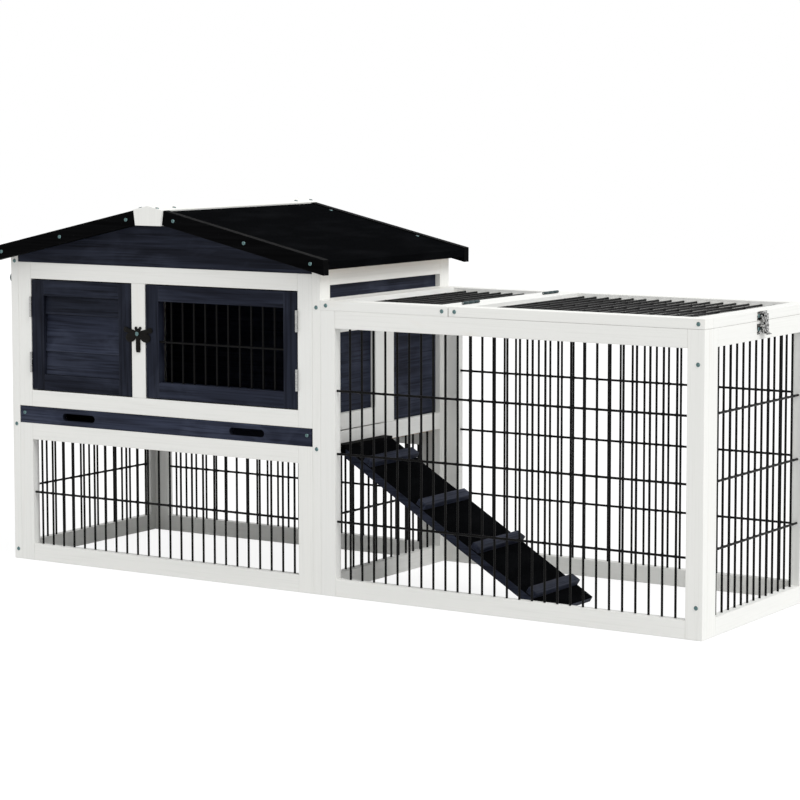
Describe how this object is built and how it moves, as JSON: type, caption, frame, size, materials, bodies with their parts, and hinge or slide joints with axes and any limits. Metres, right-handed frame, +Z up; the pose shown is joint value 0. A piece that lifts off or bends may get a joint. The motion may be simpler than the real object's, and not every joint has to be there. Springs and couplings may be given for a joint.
{
  "type": "pet hutch",
  "caption": "Two-tier wooden small-pet hutch: gabled house with hinged doors and pull-out tray over a mesh den, joined to a wire run with a hinged lid and a cleated ramp.",
  "frame": {"origin": "middle of the overall footprint, on the ground", "axes": "+X to the right along the length, from the house towards the end of the run; +Y from the front with the doors to the back; +Z up"},
  "size_m": [1.554, 0.508, 0.7048],
  "materials": {
    "white_paint": "satin white paint on softwood",
    "navy_stain": "dark navy stain on softwood",
    "bare_wood": "bare softwood and thin board",
    "black_paint": "black paint on softwood",
    "black_felt": "grit-faced bitumen felt",
    "black_wire": "black coated steel wire",
    "zinc_screw": "zinc plated",
    "silver_hinge": "bright zinc plated",
    "dark_steel": "dull zinc plated",
    "black_latch": "black powder coat",
    "bright_latch": "bright plated steel"
  },
  "bodies": {
    "hutch": {"back_lower_frame": "white_paint", "back_lower_mesh": "black_wire", "back_upper_frame": "white_paint", "back_upper_panel": "navy_stain", "barge_battens": "black_paint", "door_hinge_fixed_leaves": "silver_hinge", "frame_screws": "zinc_screw", "front_lower_frame": "white_paint", "front_lower_mesh": "black_wire", "front_upper_frame": "white_paint", "gable_boards": "navy_stain", "hinge_pins": "silver_hinge", "left_roof_board": "bare_wood", "left_wall_frame": "white_paint", "left_wall_panel": "navy_stain", "lid_hinge_fixed_leaves": "dark_steel", "lid_latch_base": "bright_latch", "ramp_ledge": "black_paint", "ridge_cap": "white_paint", "ridge_keystones": "white_paint", "right_roof_board": "bare_wood", "right_wall_frame": "white_paint", "right_wall_panels": "navy_stain", "roof_felts": "black_felt", "roof_screws": "zinc_screw", "run_back_frame": "white_paint", "run_back_mesh": "black_wire", "run_end_frame": "white_paint", "run_end_mesh": "black_wire", "run_fixed_top_frame": "white_paint", "run_fixed_top_mesh": "black_wire", "run_front_frame": "white_paint", "run_front_mesh": "black_wire", "side_wall_meshes": "black_wire", "tray_runners": "bare_wood", "turn_latch_screw": "zinc_screw", "wall_staple": "dark_steel"},
    "left_door": {"left_door_frame": "navy_stain", "left_door_planks": "navy_stain", "left_door_hinge_leaves": "silver_hinge"},
    "right_door": {"right_door_frame": "navy_stain", "right_door_mesh": "black_wire", "right_door_hinge_leaves": "silver_hinge"},
    "turn_latch": {"turn_latch": "black_latch"},
    "tray": {"tray_front": "navy_stain", "tray_sides": "navy_stain", "tray_floor": "navy_stain", "tray_screws": "zinc_screw"},
    "lid": {"lid_frame": "white_paint", "lid_mesh": "black_wire", "lid_hinge_leaves": "dark_steel", "lid_latch_catch": "bright_latch", "lid_screws": "zinc_screw"},
    "lid_latch_lever": {"lid_latch_lever": "bright_latch"},
    "pop_door": {"pop_door_frame": "white_paint", "pop_door_panel": "navy_stain", "pop_door_hinge_leaves": "silver_hinge"},
    "ramp": {"ramp_board": "navy_stain", "ramp_felt": "black_felt", "ramp_cleats": "navy_stain"}
  },
  "joints": [
    {"name": "left_door_hinge", "type": "hinge", "parent": "hutch", "child": "left_door", "pos_m": [-0.698, -0.2228, 0.44625], "axis": [0, 0, -1], "range_deg": [0, 170]},
    {"name": "right_door_hinge", "type": "hinge", "parent": "hutch", "child": "right_door", "pos_m": [-0.063, -0.2228, 0.44625], "axis": [0, 0, 1], "range_deg": [0, 170]},
    {"name": "turn_latch_turn", "type": "hinge", "parent": "hutch", "child": "turn_latch", "pos_m": [-0.43225, -0.22175, 0.46], "axis": [0, 1, 0], "continuous": true},
    {"name": "tray_slide", "type": "slide", "parent": "hutch", "child": "tray", "axis": [0, -1, 0], "range_m": [0, 0.35]},
    {"name": "lid_hinge", "type": "hinge", "parent": "hutch", "child": "lid", "pos_m": [0.261, 0, 0.5433], "axis": [0, -1, 0], "range_deg": [0, 155]},
    {"name": "lid_latch_pivot", "type": "hinge", "parent": "hutch", "child": "lid_latch_lever", "pos_m": [0.768, 0, 0.511], "axis": [0, 1, 0], "range_deg": [0, 40]},
    {"name": "pop_door_hinge", "type": "hinge", "parent": "hutch", "child": "pop_door", "pos_m": [-0.0092, -0.187, 0.40225], "axis": [0, 0, -1], "range_deg": [0, 90]},
    {"name": "ramp_lift", "type": "hinge", "parent": "hutch", "child": "ramp", "pos_m": [0.008, -0.091, 0.267], "axis": [0, -1, 0], "range_deg": [0, 30]}
  ]
}
